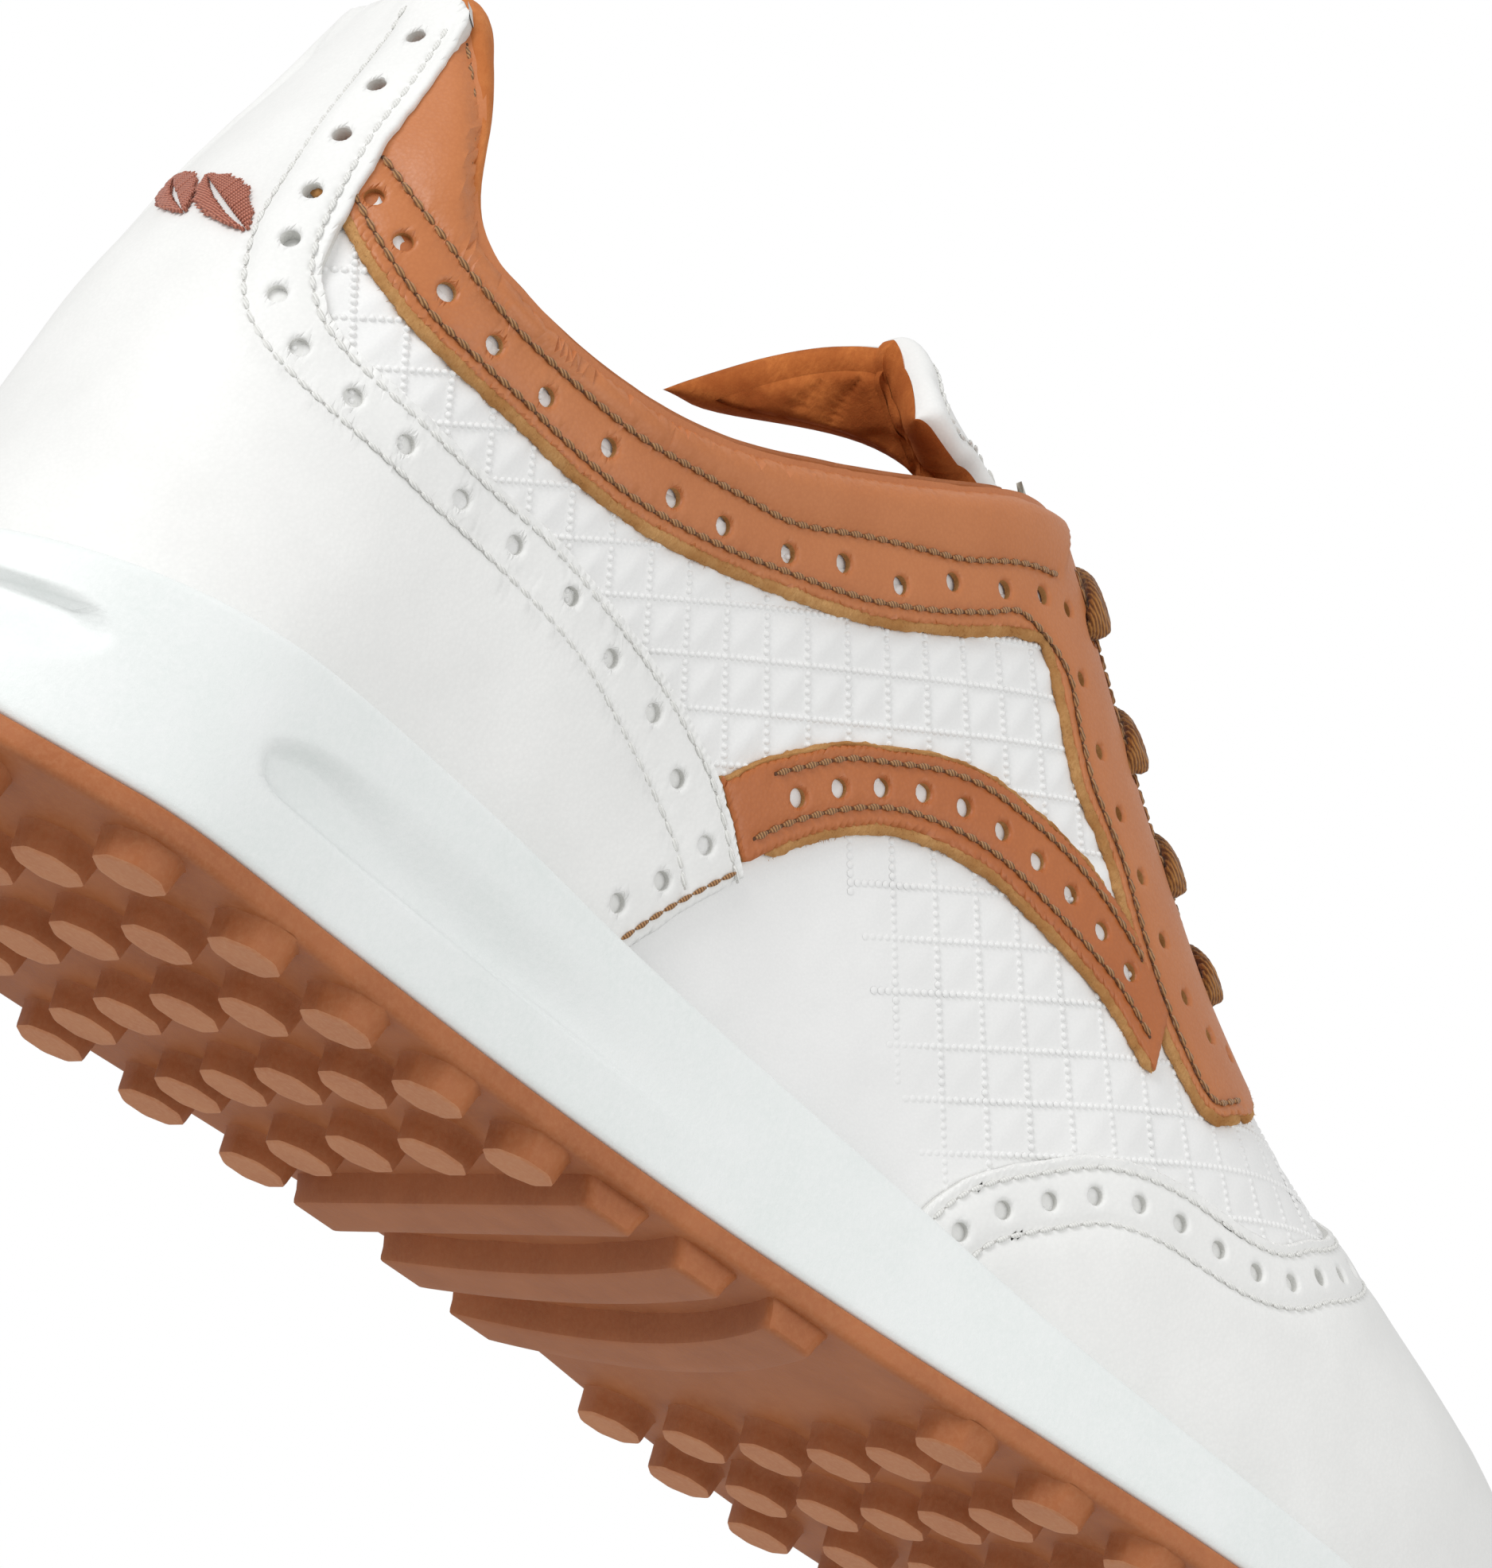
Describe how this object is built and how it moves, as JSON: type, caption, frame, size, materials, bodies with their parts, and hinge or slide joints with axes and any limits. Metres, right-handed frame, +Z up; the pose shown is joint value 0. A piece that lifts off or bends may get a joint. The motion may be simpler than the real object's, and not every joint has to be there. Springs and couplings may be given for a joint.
{
  "type": "golf shoe",
  "caption": "Low-cut laced golf shoe for the right foot: leather upper with wing-tip overlays, padded collar and tongue, cup midsole, nubbed traction outsole.",
  "frame": {"origin": "on the ground under the centre of the shoe's bounding box", "axes": "+X towards the toe, +Y towards the inner side of the foot, +Z up"},
  "size_m": [0.28, 0.0864, 0.1256],
  "materials": {
    "gum_rubber": "matt",
    "midsole_foam": "satin",
    "board": "matt",
    "footbed_foam": "matt",
    "stiffener": "matt",
    "white_leather": "satin",
    "embossed_leather": "satin",
    "tan_leather": "satin",
    "lining_leather": "suede",
    "textile_lining": "matt",
    "padding": "foam",
    "lace_cord": "waxed cord",
    "embroidery": "thread"
  },
  "bodies": {
    "shoe": {"outsole": "gum_rubber", "midsole": "midsole_foam", "insole_board": "board", "heel_counter": "stiffener", "heel_overlay": "white_leather", "quarter_lateral": "embossed_leather", "quarter_medial": "embossed_leather", "vamp": "embossed_leather", "toe_puff": "stiffener", "toe_cap": "white_leather", "collar_band_lateral": "tan_leather", "collar_band_medial": "tan_leather", "saddle_stripe_lateral": "tan_leather", "saddle_stripe_medial": "tan_leather", "collar_foam": "padding", "collar_lining": "lining_leather", "vamp_lining": "textile_lining", "lace": "lace_cord", "heel_emblem": "embroidery"},
    "tongue": {"tongue_shell": "white_leather", "tongue_foam": "padding", "tongue_lining": "lining_leather"},
    "footbed": {"footbed_foam": "footbed_foam", "footbed_cover": "lining_leather"}
  },
  "joints": [
    {"name": "tongue_swing", "type": "hinge", "parent": "shoe", "child": "tongue", "pos_m": [0.049, -0.0021, 0.062], "axis": [0, 1, 0], "range_deg": [-4, 0]},
    {"name": "footbed_lift", "type": "hinge", "parent": "shoe", "child": "footbed", "pos_m": [0.128, 0.0009, 0.022], "axis": [0, 1, 0], "range_deg": [0, 2.4]}
  ]
}
